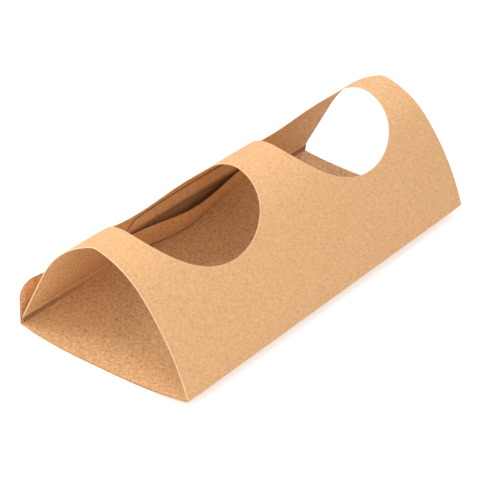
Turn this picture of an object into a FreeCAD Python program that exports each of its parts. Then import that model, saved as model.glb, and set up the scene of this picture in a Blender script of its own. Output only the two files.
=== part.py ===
import FreeCAD, Part
import math
import os

import Sketcher

# Two-cup carrier folded from one die-cut sheet of kraft board.
# The carrier stands on its bowed base. X runs along its length, the front panel faces -Y and +Z is up.
# Followed along the sheet, the panels are: inner base panel, back wall, front panel, outer base, outer flap
# with the lock tab. The lock tab goes in through a slit low in the back wall, pushes the foot of the wall
# inwards, and stands against the wall's inner face.
# Every section line below is the outer face of the sheet, and the board lies on its inner side.

Vector = FreeCAD.Vector
Rotation = FreeCAD.Rotation
Placement = FreeCAD.Placement

doc = FreeCAD.newDocument("cup_carrier")

# Driving sizes in millimetres and degrees
sizes = doc.addObject("Spreadsheet::Sheet", "sizes")
SIZES = [
    ("sheet_length", 220.0, "length of the carrier, and of every fold"),
    ("board", 0.45, "thickness of the board"),
    ("layer_gap", 0.12, "air between two layers that lie on each other"),
    ("base_width", 103.6, "from the front bottom fold to the back bottom fold"),
    ("base_bow", 4.0, "how far the bottom folds stand above the ground"),
    ("base_flat", 18.0, "width of the strip that touches the ground"),
    ("ridge_height", 64.4, "top fold above the ground"),
    ("ridge_offset", 0.3, "top fold in front of the middle of the base"),
    ("front_lean", 73.7, "angle of the front panel to the ground at its bottom fold"),
    ("front_low_radius", 123.0, "bend of the lower front panel"),
    ("front_top_radius", 46.4, "bend of the upper front panel"),
    ("wall_lean", 29.6, "lean of the flat part of the back wall from upright"),
    ("wall_top_radius", 55.7, "bend of the upper back wall"),
    ("score_inset", 2.2, "score line of the back wall, in from the back bottom fold"),
    ("score_rise", 5.4, "score line of the back wall, above the back bottom fold"),
    ("foot_inset", 1.3, "fold at the foot of the back wall, in from the back bottom fold"),
    ("tuck_inset", 1.4, "free edge of the inner base panel, in from the front bottom fold"),
    ("hole_diameter", 76.8, "cup hole, measured in the flat sheet"),
    ("hole_spacing", 104.8, "between the middles of the cup holes"),
    ("hole_shift", 1.5, "middles of the cup holes, in front of the top fold"),
    ("slit_height", 19.0, "lower lip of the slit above the score line, along the wall"),
    ("slit_gap", 2.4, "opening of the slit along the wall"),
    ("slit_length", 105.0, "length of the slit"),
    ("tab_width", 104.0, "lock tab where it leaves the slit"),
    ("tab_reach", 18.8, "middle of the lock tab above the slit, along the wall"),
    ("tab_side", 14.2, "corners of the lock tab above the slit, along the wall"),
    ("tab_taper", 2.2, "how much nearer the middle each corner of the lock tab is than its foot"),
    ("tab_stock", 6.0, "strip that the lock tab is cut from ends below the top fold"),
    ("toe_swing", 56.0, "how far the lock tab swings the toe of the wall inwards about the foot fold"),
    ("toe_lap", 0.25, "root of the swung toe in from the foot fold, inside the end of the inner base panel"),
    ("toe_lift", 0.3, "root of the swung toe above the foot fold"),
    ("lip_length", 100.0, "length of the pushed-in part of the wall's foot"),
    ("fold_lap", 0.05, "foot of the outer flap below the fold line, where the board bends round"),
    ("flap_height", 23.0, "outer flap above the back bottom fold, at its free ends"),
    ("flap_lean", 4.0, "lean of the outer flap from upright at its free ends"),
    ("flap_corner", 9.0, "radius of the outer flap's end corners"),
]
for row, (name, value, meaning) in enumerate(SIZES, start=1):
    sizes.set("A%d" % row, name)
    sizes.set("B%d" % row, str(value))
    sizes.set("C%d" % row, meaning)
    sizes.setAlias("B%d" % row, name)
doc.recompute()


def size(name):
    """Value of one driving size."""
    return float(getattr(sizes, name))


def section_sketch(name):
    """Empty sketch in the YZ plane: its x is the carrier's Y, its y is Z."""
    sketch = doc.addObject("Sketcher::SketchObject", name)
    sketch.Placement = Placement(Vector(0, 0, 0), Rotation(Vector(0, 1, 0), Vector(0, 0, 1), Vector(1, 0, 0)))
    return sketch


def add_line(sketch, start, end):
    """Straight stretch of a section line."""
    stretch = Part.LineSegment(Vector(start[0], start[1], 0), Vector(end[0], end[1], 0))
    return sketch.addGeometry(stretch, False)


def add_arc(sketch, centre, start, end):
    """Round stretch of a section line, run anticlockwise from start to end."""
    radius = math.hypot(start[0] - centre[0], start[1] - centre[1])
    first = math.atan2(start[1] - centre[1], start[0] - centre[0])
    last = math.atan2(end[1] - centre[1], end[0] - centre[0])
    if last < first:
        last += 2 * math.pi
    circle = Part.Circle(Vector(centre[0], centre[1], 0), Vector(0, 0, 1), radius)
    return sketch.addGeometry(Part.ArcOfCircle(circle, first, last), False)


def join(sketch, first, first_end, second, second_end):
    """Let two stretches meet in one point."""
    sketch.addConstraint(Sketcher.Constraint("Coincident", first, first_end, second, second_end))


def join_smooth(sketch, first, first_end, second, second_end):
    """Let two stretches meet in one point with no kink."""
    sketch.addConstraint(Sketcher.Constraint("Tangent", first, first_end, second, second_end))


def bind(sketch, kind, targets, value, expression):
    """Add one size to a sketch and tie it to the sheet of sizes."""
    index = sketch.addConstraint(Sketcher.Constraint(kind, *targets, value))
    sketch.setExpression("Constraints[%d]" % index, expression)


def place(sketch, geometry, end, point, along, up):
    """Tie one end of a stretch to a place in the section."""
    for kind, value, expression in (("DistanceX", point[0], along), ("DistanceY", point[1], up)):
        bind(sketch, kind, (-1, 1, geometry, end), value, expression)


START, END, CENTRE = 1, 2, 3

# Places in the section, worked out from the sizes
half_width = size("base_width") / 2
front_fold = (-half_width, size("base_bow"))
back_fold = (half_width, size("base_bow"))
ridge = (-size("ridge_offset"), size("ridge_height"))
score = (half_width - size("score_inset"), size("base_bow") + size("score_rise"))


def base_radius():
    """Radius of the two bowed sides of the base."""
    side = (size("base_width") - size("base_flat")) / 2
    return (side ** 2 + size("base_bow") ** 2) / (2 * size("base_bow"))


def bowed_side(sketch, side, radius, lift, reach):
    """One bowed side of a base layer: side is 1 at the back and -1 at the front."""
    centre = (side * size("base_flat") / 2, radius + lift)
    drop = math.sqrt(radius ** 2 - (reach - abs(centre[0])) ** 2)
    outer = (side * reach, centre[1] - drop)
    flat_end = (centre[0], lift)
    if side > 0:
        return add_arc(sketch, centre, flat_end, outer), outer
    return add_arc(sketch, centre, outer, flat_end), outer


def front_centres():
    """Centres of the two bends of the front panel."""
    lean = math.radians(size("front_lean"))
    low_radius = size("front_low_radius")
    top_radius = size("front_top_radius")
    low = (front_fold[0] + low_radius * math.sin(lean), front_fold[1] - low_radius * math.cos(lean))
    across = (ridge[0] - low[0], ridge[1] - low[1])
    span = math.hypot(*across)
    along = ((low_radius - top_radius) ** 2 - top_radius ** 2 + span ** 2) / (2 * span)
    aside = math.sqrt((low_radius - top_radius) ** 2 - along ** 2)
    unit = (across[0] / span, across[1] / span)
    top = (low[0] + along * unit[0] - aside * unit[1], low[1] + along * unit[1] + aside * unit[0])
    return low, top


def wall_bend():
    """Centre of the back wall's bend, and the end of its flat part."""
    lean = math.radians(size("wall_lean"))
    radius = size("wall_top_radius")
    up = (-math.sin(lean), math.cos(lean))
    inward = (-math.cos(lean), -math.sin(lean))
    offset = (score[0] + radius * inward[0] - ridge[0], score[1] + radius * inward[1] - ridge[1])
    half = offset[0] * up[0] + offset[1] * up[1]
    rest = offset[0] ** 2 + offset[1] ** 2 - radius ** 2
    length = -half - math.sqrt(half ** 2 - rest)
    if length < 0:
        length = -half + math.sqrt(half ** 2 - rest)
    flat_end = (score[0] + length * up[0], score[1] + length * up[1])
    centre = (flat_end[0] + radius * inward[0], flat_end[1] + radius * inward[1])
    return centre, flat_end


def on_wall(height, outward=0.0):
    """Point at a height above the score line along the back wall, and off its outer face."""
    lean = math.radians(size("wall_lean"))
    along = (score[0] - height * math.sin(lean), score[1] + height * math.cos(lean))
    return along[0] + outward * math.cos(lean), along[1] + outward * math.sin(lean)


def extrude(name, face, start, length):
    """Solid from a section face, run along the carrier."""
    solid = doc.addObject("Part::Extrusion", name)
    solid.Base = face
    solid.DirMode = "Custom"
    solid.Dir = Vector(1, 0, 0)
    solid.Solid = True
    solid.setExpression("LengthRev", "-(" + start + ")")
    solid.setExpression("LengthFwd", start + " + " + length)
    return solid


def board_face(name, sketch):
    """Section of the board: the outer face line thickened towards the inside of the carrier."""
    face = doc.addObject("Part::Offset2D", name)
    face.Source = sketch
    face.Mode = "Skin"
    face.Join = "Intersection"
    face.Fill = True
    face.setExpression("Value", "-sizes.board")
    return face


WALL_X = "sizes.base_width / 2 - sizes.score_inset"
WALL_Z = "sizes.base_bow + sizes.score_rise"
LAYER = "sizes.board + sizes.layer_gap"


def wall_place(height, outward):
    """Expressions for a place on the back wall, like on_wall."""
    along = "%s - (%s) * sin(sizes.wall_lean) + (%s) * cos(sizes.wall_lean)" % (WALL_X, height, outward)
    up = "%s + (%s) * cos(sizes.wall_lean) + (%s) * sin(sizes.wall_lean)" % (WALL_Z, height, outward)
    return along, up


BASE_RADIUS = "(((sizes.base_width - sizes.base_flat) / 2)^2 + sizes.base_bow^2) / (2 * sizes.base_bow)"

# Cover: back wall above the slit, top fold, front panel and outer base, in one run of board
cover_line = section_sketch("cover_line")
bend_centre, flat_end = wall_bend()
low_centre, top_centre = front_centres()
reach = math.hypot(top_centre[0] - low_centre[0], top_centre[1] - low_centre[1])
joint = (low_centre[0] + (top_centre[0] - low_centre[0]) * size("front_low_radius") / reach,
         low_centre[1] + (top_centre[1] - low_centre[1]) * size("front_low_radius") / reach)
lip = on_wall(size("slit_height"))
wall_flat = add_line(cover_line, lip, flat_end)
wall_top = add_arc(cover_line, bend_centre, flat_end, ridge)
front_top = add_arc(cover_line, top_centre, ridge, joint)
front_low = add_arc(cover_line, low_centre, joint, front_fold)
base_front, _ = bowed_side(cover_line, -1, base_radius(), 0.0, half_width)
base_flat = add_line(cover_line, (-size("base_flat") / 2, 0), (size("base_flat") / 2, 0))
base_back, _ = bowed_side(cover_line, 1, base_radius(), 0.0, half_width)
place(cover_line, wall_flat, START, lip, *wall_place("sizes.slit_height", "0"))
lean_angle = math.radians(90 + size("wall_lean"))
bind(cover_line, "Angle", (wall_flat,), lean_angle, "90 deg + sizes.wall_lean * 1 deg")
join_smooth(cover_line, wall_flat, END, wall_top, START)
bind(cover_line, "Radius", (wall_top,), size("wall_top_radius"), "sizes.wall_top_radius")
join(cover_line, wall_top, END, front_top, START)
place(cover_line, wall_top, END, ridge, "-sizes.ridge_offset", "sizes.ridge_height")
bind(cover_line, "Radius", (front_top,), size("front_top_radius"), "sizes.front_top_radius")
join_smooth(cover_line, front_top, END, front_low, START)
bind(cover_line, "Radius", (front_low,), size("front_low_radius"), "sizes.front_low_radius")
bind(cover_line, "DistanceY", (-1, 1, front_low, CENTRE), low_centre[1],
     "sizes.base_bow - sizes.front_low_radius * cos(sizes.front_lean)")
place(cover_line, front_low, END, front_fold, "-sizes.base_width / 2", "sizes.base_bow")
join(cover_line, front_low, END, base_front, START)
join_smooth(cover_line, base_front, END, base_flat, START)
cover_line.addConstraint(Sketcher.Constraint("PointOnObject", base_flat, START, -1))
cover_line.addConstraint(Sketcher.Constraint("PointOnObject", base_flat, END, -1))
bind(cover_line, "DistanceX", (-1, 1, base_flat, START), -size("base_flat") / 2, "-sizes.base_flat / 2")
bind(cover_line, "DistanceX", (-1, 1, base_flat, END), size("base_flat") / 2, "sizes.base_flat / 2")
join_smooth(cover_line, base_flat, END, base_back, START)
place(cover_line, base_back, END, back_fold, "sizes.base_width / 2", "sizes.base_bow")
cover_face = board_face("cover_face", cover_line)
cover_tunnel = extrude("cover_tunnel", cover_face, "-sizes.sheet_length / 2", "sizes.sheet_length")

# Foot of the back wall: from the inner base panel round the foot fold and up over the score line to the slit
layer = size("board") + size("layer_gap")
inner_radius = base_radius() - layer
foot_line = section_sketch("foot_line")
foot_bow, foot_fold = bowed_side(foot_line, 1, inner_radius, layer, half_width - size("foot_inset"))
foot_toe = add_line(foot_line, foot_fold, score)
foot_wall = add_line(foot_line, score, lip)
place(foot_line, foot_bow, START, (size("base_flat") / 2, layer), "sizes.base_flat / 2", LAYER)
bind(foot_line, "DistanceX", (-1, 1, foot_bow, CENTRE), size("base_flat") / 2, "sizes.base_flat / 2")
bind(foot_line, "Radius", (foot_bow,), inner_radius, BASE_RADIUS + " - (" + LAYER + ")")
bind(foot_line, "DistanceX", (-1, 1, foot_bow, END), foot_fold[0],
     "sizes.base_width / 2 - sizes.foot_inset")
join(foot_line, foot_bow, END, foot_toe, START)
place(foot_line, foot_toe, END, score, *wall_place("0", "0"))
join(foot_line, foot_toe, END, foot_wall, START)
place(foot_line, foot_wall, END, lip, *wall_place("sizes.slit_height", "0"))
foot_face = board_face("foot_face", foot_line)
FOOT_END = "(sizes.sheet_length - sizes.lip_length) / 2"
foot_left = extrude("foot_left", foot_face, "-sizes.sheet_length / 2", FOOT_END)
foot_right = extrude("foot_right", foot_face, "sizes.lip_length / 2", FOOT_END)

# Inner base panel from its free edge at the front to the foot fold
tuck_line = section_sketch("tuck_line")
tuck_bow, tuck_edge = bowed_side(tuck_line, -1, inner_radius, layer, half_width - size("tuck_inset"))
tuck_flat = add_line(tuck_line, (-size("base_flat") / 2, layer), (size("base_flat") / 2, layer))
tuck_back, _ = bowed_side(tuck_line, 1, inner_radius, layer, foot_fold[0])
bind(tuck_line, "DistanceX", (-1, 1, tuck_bow, START), tuck_edge[0],
     "sizes.tuck_inset - sizes.base_width / 2")
bind(tuck_line, "Radius", (tuck_bow,), inner_radius, BASE_RADIUS + " - (" + LAYER + ")")
join_smooth(tuck_line, tuck_bow, END, tuck_flat, START)
place(tuck_line, tuck_flat, START, (-size("base_flat") / 2, layer), "-sizes.base_flat / 2", LAYER)
place(tuck_line, tuck_flat, END, (size("base_flat") / 2, layer), "sizes.base_flat / 2", LAYER)
join_smooth(tuck_line, tuck_flat, END, tuck_back, START)
bind(tuck_line, "Radius", (tuck_back,), inner_radius, BASE_RADIUS + " - (" + LAYER + ")")
bind(tuck_line, "DistanceX", (-1, 1, tuck_back, END), foot_fold[0],
     "sizes.base_width / 2 - sizes.foot_inset")
tuck_face = board_face("tuck_face", tuck_line)
tuck_panel = extrude("tuck_panel", tuck_face, "-sizes.sheet_length / 2", "sizes.sheet_length")

# Lock: the outer flap leans on the wall, steps in through the slit and stands up behind the wall as a tab
SLIT_TOP = "sizes.slit_height + sizes.slit_gap"
slit_top = size("slit_height") + size("slit_gap")
flap_root = (back_fold[0], back_fold[1] - size("fold_lap"))
knee = on_wall(0, layer)
step_low = on_wall(size("slit_height"), layer)
step_high = on_wall(slit_top, -layer)
step_lap = on_wall(slit_top + size("layer_gap"), -layer)
flap_line = section_sketch("flap_line")
flap_foot = add_line(flap_line, flap_root, knee)
flap_rest = add_line(flap_line, knee, step_low)
flap_step = add_line(flap_line, step_low, step_high)
flap_lap = add_line(flap_line, step_high, step_lap)
place(flap_line, flap_foot, START, flap_root, "sizes.base_width / 2", "sizes.base_bow - sizes.fold_lap")
place(flap_line, flap_foot, END, knee, *wall_place("0", LAYER))
join(flap_line, flap_foot, END, flap_rest, START)
place(flap_line, flap_rest, END, step_low, *wall_place("sizes.slit_height", LAYER))
join(flap_line, flap_rest, END, flap_step, START)
place(flap_line, flap_step, END, step_high, *wall_place(SLIT_TOP, "-(" + LAYER + ")"))
join(flap_line, flap_step, END, flap_lap, START)
place(flap_line, flap_lap, END, step_lap, *wall_place(SLIT_TOP + " + sizes.layer_gap", "-(" + LAYER + ")"))
flap_face = board_face("flap_face", flap_line)
flap_middle = extrude("flap_middle", flap_face, "-sizes.tab_width / 2", "sizes.tab_width")

# Tab: a strip that follows the wall's inner face, cut to an outline with an arched top
tab_bend = wall_bend()[0]
tab_radius = size("wall_top_radius") - layer
wall_run = math.hypot(flat_end[0] - score[0], flat_end[1] - score[1])
tab_flat_end = on_wall(wall_run, -layer)
tab_top_height = size("ridge_height") - size("tab_stock")
tab_top = (tab_bend[0] + math.sqrt(tab_radius ** 2 - (tab_top_height - tab_bend[1]) ** 2), tab_top_height)
tab_line = section_sketch("tab_line")
tab_flat = add_line(tab_line, step_high, tab_flat_end)
tab_round = add_arc(tab_line, tab_bend, tab_flat_end, tab_top)
place(tab_line, tab_flat, START, step_high, *wall_place(SLIT_TOP, "-(" + LAYER + ")"))
bind(tab_line, "Angle", (tab_flat,), lean_angle, "90 deg + sizes.wall_lean * 1 deg")
tab_line.addConstraint(Sketcher.Constraint("Distance", tab_flat, wall_run - slit_top))
join_smooth(tab_line, tab_flat, END, tab_round, START)
bind(tab_line, "Radius", (tab_round,), tab_radius, "sizes.wall_top_radius - (" + LAYER + ")")
bind(tab_line, "DistanceY", (-1, 1, tab_round, END), tab_top_height, "sizes.ridge_height - sizes.tab_stock")
tab_face = board_face("tab_face", tab_line)
tab_strip = extrude("tab_strip", tab_face, "-sizes.tab_width / 2", "sizes.tab_width")

tab_foot = size("tab_width") / 2
tab_corner = (tab_foot - size("tab_taper"), size("tab_side"))
left_corner = (-tab_corner[0], tab_corner[1])
tab_arch = size("tab_reach") - size("tab_side")
arch_radius = (tab_corner[0] ** 2 + tab_arch ** 2) / (2 * tab_arch)
tab_outline = doc.addObject("Sketcher::SketchObject", "tab_outline")
outline_foot = add_line(tab_outline, (-tab_foot, 0), (tab_foot, 0))
outline_right = add_line(tab_outline, (tab_foot, 0), tab_corner)
outline_arch = add_arc(tab_outline, (0, size("tab_reach") - arch_radius), tab_corner, left_corner)
outline_left = add_line(tab_outline, left_corner, (-tab_foot, 0))
place(tab_outline, outline_foot, START, (-tab_foot, 0), "-sizes.tab_width / 2", "0")
place(tab_outline, outline_foot, END, (tab_foot, 0), "sizes.tab_width / 2", "0")
join(tab_outline, outline_foot, END, outline_right, START)
join(tab_outline, outline_right, END, outline_arch, START)
join(tab_outline, outline_arch, END, outline_left, START)
join(tab_outline, outline_left, END, outline_foot, START)
place(tab_outline, outline_right, END, tab_corner, "sizes.tab_width / 2 - sizes.tab_taper", "sizes.tab_side")
place(tab_outline, outline_left, START, left_corner, "sizes.tab_taper - sizes.tab_width / 2", "sizes.tab_side")
ARCH = "(sizes.tab_reach - sizes.tab_side)"
bind(tab_outline, "Radius", (outline_arch,), arch_radius,
     "((sizes.tab_width / 2 - sizes.tab_taper)^2 + %s^2) / (2 * %s)" % (ARCH, ARCH))
tab_outline.Placement = Placement(Vector(0, 0, 0), Rotation(Vector(1, 0, 0), 90 + size("wall_lean")))
tab_outline.setExpression("Placement.Rotation.Angle", "90 + sizes.wall_lean")
tab_centre = wall_place(SLIT_TOP, "0")
tab_outline.setExpression("Placement.Base.y", tab_centre[0])
tab_outline.setExpression("Placement.Base.z", tab_centre[1])
tab_punch = doc.addObject("Part::Extrusion", "tab_punch")
tab_punch.Base = tab_outline
tab_punch.DirMode = "Normal"
tab_punch.Solid = True
tab_punch.Symmetric = True
tab_punch.setExpression("LengthFwd", "sizes.tab_reach")
tab = doc.addObject("Part::Common", "tab")
tab.Base = tab_strip
tab.Tool = tab_punch

# Free ends of the flap: they spring away from the wall, so each one twists from the tab out to its end
half_tab = size("tab_width") / 2
half_length = size("sheet_length") / 2


def thick_line(points, thickness):
    """Closed outline of a bent strip: its outer points, then the same points moved inwards."""
    normals = []
    for start, end in zip(points, points[1:]):
        run = math.hypot(end[0] - start[0], end[1] - start[1])
        normals.append((-(end[1] - start[1]) / run, (end[0] - start[0]) / run))
    inner = []
    for point, before, after in zip(points, normals[:1] + normals, normals + normals[-1:]):
        mitre = thickness / (1 + before[0] * after[0] + before[1] * after[1])
        inner.append((point[0] + mitre * (before[0] + after[0]), point[1] + mitre * (before[1] + after[1])))
    return points + inner[::-1]


def section_wire(points, along):
    """Closed wire of section points at a place along the carrier."""
    corners = [Vector(along, point[0], point[1]) for point in points]
    return Part.makePolygon(corners + corners[:1])


free_lean = math.radians(size("flap_lean"))
knee_run = math.hypot(knee[0] - flap_root[0], knee[1] - flap_root[1])
free_end = [(flap_root[0] - run * math.sin(free_lean), flap_root[1] + run * math.cos(free_lean))
            for run in (0, knee_run, size("flap_height"))]
held_end = [flap_root, knee, step_low]
flap_wing = doc.addObject("Part::Feature", "flap_wing")
flap_wing.Shape = Part.makeLoft([section_wire(thick_line(held_end, size("board")), half_tab),
                                 section_wire(thick_line(free_end, size("board")), half_length)], True, True)
corner_block = doc.addObject("Part::Box", "corner_block")
FLAP_TOP = "sizes.base_bow - sizes.fold_lap + sizes.flap_height * cos(sizes.flap_lean)"
corner_block.setExpression("Length", "2 * sizes.flap_corner")
corner_block.setExpression("Width", "2 * sizes.flap_height")
corner_block.setExpression("Height", "2 * sizes.flap_corner")
corner_block.setExpression("Placement.Base.x", "sizes.sheet_length / 2 - sizes.flap_corner")
corner_block.setExpression("Placement.Base.y", "sizes.base_width / 2 - sizes.flap_height")
corner_block.setExpression("Placement.Base.z", FLAP_TOP + " - sizes.flap_corner")
corner_round = doc.addObject("Part::Cylinder", "corner_round")
corner_round.Placement = Placement(Vector(0, 0, 0), Rotation(Vector(1, 0, 0), -90))
corner_round.setExpression("Radius", "sizes.flap_corner")
corner_round.setExpression("Height", "2 * sizes.flap_height")
corner_round.setExpression("Placement.Base.x", "sizes.sheet_length / 2 - sizes.flap_corner")
corner_round.setExpression("Placement.Base.y", "sizes.base_width / 2 - sizes.flap_height")
corner_round.setExpression("Placement.Base.z", FLAP_TOP + " - sizes.flap_corner")
corner_waste = doc.addObject("Part::Cut", "corner_waste")
corner_waste.Base = corner_block
corner_waste.Tool = corner_round
right_wing = doc.addObject("Part::Cut", "right_wing")
right_wing.Base = flap_wing
right_wing.Tool = corner_waste
left_wing = doc.addObject("Part::Mirroring", "left_wing")
left_wing.Source = right_wing
left_wing.Normal = Vector(1, 0, 0)

# Pushed-in foot of the wall: its toe swings inwards about the foot fold, most at the middle of the length,
# and carries the score line and the wall below the slit with it
doc.recompute()
FOOT_STATIONS = 10
half_lip = size("lip_length") / 2
toe_root = (foot_fold[0] - size("toe_lap"), foot_fold[1] + size("toe_lift"))
toe = (score[0] - toe_root[0], score[1] - toe_root[1])


def pushed_foot(along):
    """Outer points of the wall's foot at a place along the carrier: foot fold, score line and slit."""
    swing = math.radians(size("toe_swing")) * (1 + math.cos(math.pi * along / half_lip)) / 2
    swung = (toe_root[0] + toe[0] * math.cos(swing) - toe[1] * math.sin(swing),
             toe_root[1] + toe[0] * math.sin(swing) + toe[1] * math.cos(swing))
    return [toe_root, swung, (swung[0] + lip[0] - score[0], swung[1] + lip[1] - score[1])]


stations = [half_lip * (2 * index / FOOT_STATIONS - 1) for index in range(FOOT_STATIONS + 1)]
foot_middle = doc.addObject("Part::Feature", "foot_middle")
foot_middle.Shape = Part.makeLoft([section_wire(thick_line(pushed_foot(along), size("board")), along)
                                   for along in stations], True, False)

# Cup holes: each is a true circle in the flat sheet, cut square to the board, and folded over the top fold
front_top_run = size("front_top_radius") * (math.atan2(joint[1] - top_centre[1], joint[0] - top_centre[0])
                                            - math.atan2(ridge[1] - top_centre[1], ridge[0] - top_centre[0]))


def on_sheet(run):
    """Point of the section line at a distance from the top fold: front is negative, back is positive."""
    if run < -front_top_run:
        centre, start, run, radius = low_centre, joint, run + front_top_run, size("front_low_radius")
    elif run < 0:
        centre, start, radius = top_centre, ridge, size("front_top_radius")
    else:
        centre, start, radius = bend_centre, ridge, size("wall_top_radius")
    angle = math.atan2(start[1] - centre[1], start[0] - centre[0]) - run / radius
    return centre[0] + radius * math.cos(angle), centre[1] + radius * math.sin(angle)


# Points of the curve along a hole's rim, depth of the square cut on each side of the board,
# and how far from the top fold the cut starts to turn over
RIM_POINTS = 72
PUNCH_DEPTH = 4.0
FOLD_BLEND = 3.0


def rim_point(middle, turn, depth):
    """Point of a cup hole's rim, moved square to the board by a depth outwards."""
    radius = size("hole_diameter") / 2
    run = -size("hole_shift") + radius * math.sin(turn)
    before = on_sheet(run - FOLD_BLEND)
    after = on_sheet(run + FOLD_BLEND)
    span = math.hypot(after[0] - before[0], after[1] - before[1])
    here = on_sheet(run)
    return Vector(middle + radius * math.cos(turn),
                  here[0] - depth * (after[1] - before[1]) / span,
                  here[1] + depth * (after[0] - before[0]) / span)


def closed_curve(points):
    """Smooth closed edge through points."""
    curve = Part.BSplineCurve()
    curve.interpolate(Points=points, PeriodicFlag=True)
    return curve.toShape()


def hole_punch(middle):
    """Solid that cuts one cup hole: square to the board near it, upright above and 1 mm below."""
    turns = [2 * math.pi * step / RIM_POINTS for step in range(RIM_POINTS)]
    outer = [rim_point(middle, turn, PUNCH_DEPTH) for turn in turns]
    inner = [rim_point(middle, turn, -PUNCH_DEPTH) for turn in turns]
    top = max(point.z for point in outer) + PUNCH_DEPTH
    bottom = min(point.z for point in inner) - 1
    rings = [closed_curve([Vector(point.x, point.y, top) for point in outer]), closed_curve(outer),
             closed_curve(inner), closed_curve([Vector(point.x, point.y, bottom) for point in inner])]
    faces = [Part.makeRuledSurface(upper, lower) for upper, lower in zip(rings, rings[1:])]
    faces += [Part.Face(Part.Wire([rings[0]])), Part.Face(Part.Wire([rings[-1]]))]
    shell = Part.makeShell(faces)
    shell.sewShape()
    return Part.makeSolid(shell)


punches = []
for name, side in (("left_hole_punch", -1), ("right_hole_punch", 1)):
    punch = doc.addObject("Part::Feature", name)
    punch.Shape = hole_punch(side * size("hole_spacing") / 2)
    punches.append(punch)

# Slit through the wall at the middle of its length
slit_block = doc.addObject("Part::Box", "slit_block")
slit_block.Placement = Placement(Vector(0, 0, 0), Rotation(Vector(1, 0, 0), size("wall_lean")))
slit_block.setExpression("Placement.Rotation.Angle", "sizes.wall_lean")
slit_block.setExpression("Length", "sizes.slit_length")
slit_block.setExpression("Width", "4 * sizes.board")
slit_block.setExpression("Height", "sizes.slit_gap")
slit_corner = wall_place("sizes.slit_height", "-2 * sizes.board")
slit_block.setExpression("Placement.Base.x", "-sizes.slit_length / 2")
slit_block.setExpression("Placement.Base.y", slit_corner[0])
slit_block.setExpression("Placement.Base.z", slit_corner[1])

waste = doc.addObject("Part::MultiFuse", "waste")
waste.Shapes = punches + [slit_block]
cover = doc.addObject("Part::Cut", "cover")
cover.Base = cover_tunnel
cover.Tool = waste
carrier = doc.addObject("Part::MultiFuse", "carrier_sheet")
carrier.Shapes = [cover, tuck_panel, foot_left, foot_middle, foot_right,
                  flap_middle, tab, right_wing, left_wing]
carrier.Refine = False
carrier.Label = "carrier_sheet"
doc.recompute()

# Every object is sound, and the folded sheet is one solid of one piece of board
for item in doc.Objects:
    if "Invalid" in item.State or "Error" in item.State:
        raise RuntimeError("%s did not build: %s" % (item.Name, item.State))
shape = carrier.Shape
if shape.isNull() or not shape.isValid() or len(shape.Solids) != 1:
    raise RuntimeError("the folded sheet is not one valid solid: %d solids" % len(shape.Solids))
print("volume %.1f mm3, one solid, box %s" % (shape.Volume, shape.BoundBox))
os.makedirs("parts", exist_ok=True)
shape.Solids[0].exportStep(os.path.join("parts", carrier.Label + ".step"))
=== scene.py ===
# %% [markdown]
# A folded carrier for two takeaway cups, made of one die-cut sheet of kraft board.
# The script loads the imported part, cuts a flat blank of the board, folds it up and photographs it.
# Every length is written in millimetres and turned into metres where a vertex gets its place.

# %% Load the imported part
import math

import bpy
import numpy as np
from mathutils import Matrix, Vector


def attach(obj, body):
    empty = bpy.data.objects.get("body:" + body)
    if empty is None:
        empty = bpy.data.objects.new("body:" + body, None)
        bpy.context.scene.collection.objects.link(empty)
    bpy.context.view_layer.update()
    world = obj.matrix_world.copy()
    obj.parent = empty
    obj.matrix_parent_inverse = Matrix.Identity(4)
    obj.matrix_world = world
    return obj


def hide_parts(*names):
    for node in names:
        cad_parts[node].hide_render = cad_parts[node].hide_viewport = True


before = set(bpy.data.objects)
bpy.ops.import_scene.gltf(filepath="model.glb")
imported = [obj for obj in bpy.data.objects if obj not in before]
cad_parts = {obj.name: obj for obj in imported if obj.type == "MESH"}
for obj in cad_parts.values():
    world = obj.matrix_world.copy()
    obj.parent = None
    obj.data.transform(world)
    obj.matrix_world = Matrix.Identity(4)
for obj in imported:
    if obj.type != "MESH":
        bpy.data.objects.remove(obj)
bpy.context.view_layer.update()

MM = 0.001
print("packed nodes:", sorted(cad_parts))

# %% [markdown]
# The camera comes first, because every later choice is judged through it.
# The photograph was taken with a long lens from above the carrier's near left corner.
# Direction, roll and distance were found by matching the corners and edges of the carrier in the picture.

# %% Camera at the photograph's viewing angle
VIEW_AZIMUTH = math.radians(50.625)
VIEW_DROP = math.radians(30.482)
VIEW_ROLL = math.radians(-1.1455)
VIEW_OFFSET = (6.3412, -14.0941, 849.6811)
FOCAL_PIXELS = 1712.49
PICTURE_PIXELS = 480
FILM_WIDTH = 36.0


def aim_camera(camera):
    """Turn and place the camera so that the ground's origin falls where the photograph has it."""
    ahead = Vector((math.sin(VIEW_AZIMUTH) * math.cos(VIEW_DROP),
                    math.cos(VIEW_AZIMUTH) * math.cos(VIEW_DROP),
                    -math.sin(VIEW_DROP)))
    level = ahead.cross(Vector((0, 0, 1))).normalized()
    upright = level.cross(ahead)
    right = level * math.cos(VIEW_ROLL) + upright * math.sin(VIEW_ROLL)
    up = upright * math.cos(VIEW_ROLL) - level * math.sin(VIEW_ROLL)
    place = -(right * VIEW_OFFSET[0] + up * VIEW_OFFSET[1] + ahead * VIEW_OFFSET[2]) * MM
    turn = Matrix((right, up, -ahead)).transposed().to_4x4()
    camera.matrix_world = Matrix.Translation(place) @ turn
    camera.data.sensor_width = FILM_WIDTH
    camera.data.lens = FOCAL_PIXELS / PICTURE_PIXELS * FILM_WIDTH


bpy.ops.object.select_all(action="DESELECT")
bpy.ops.object.camera_add()
camera = bpy.context.object
camera.name = "photo_camera"
camera.data.clip_start = 0.05
camera.data.clip_end = 20
aim_camera(camera)
bpy.context.scene.camera = camera
bpy.context.scene.view_settings.view_transform = "Standard"
print("camera stands at", [round(value, 3) for value in camera.location])
print("its lens is %.1f mm long" % camera.data.lens)

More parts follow.
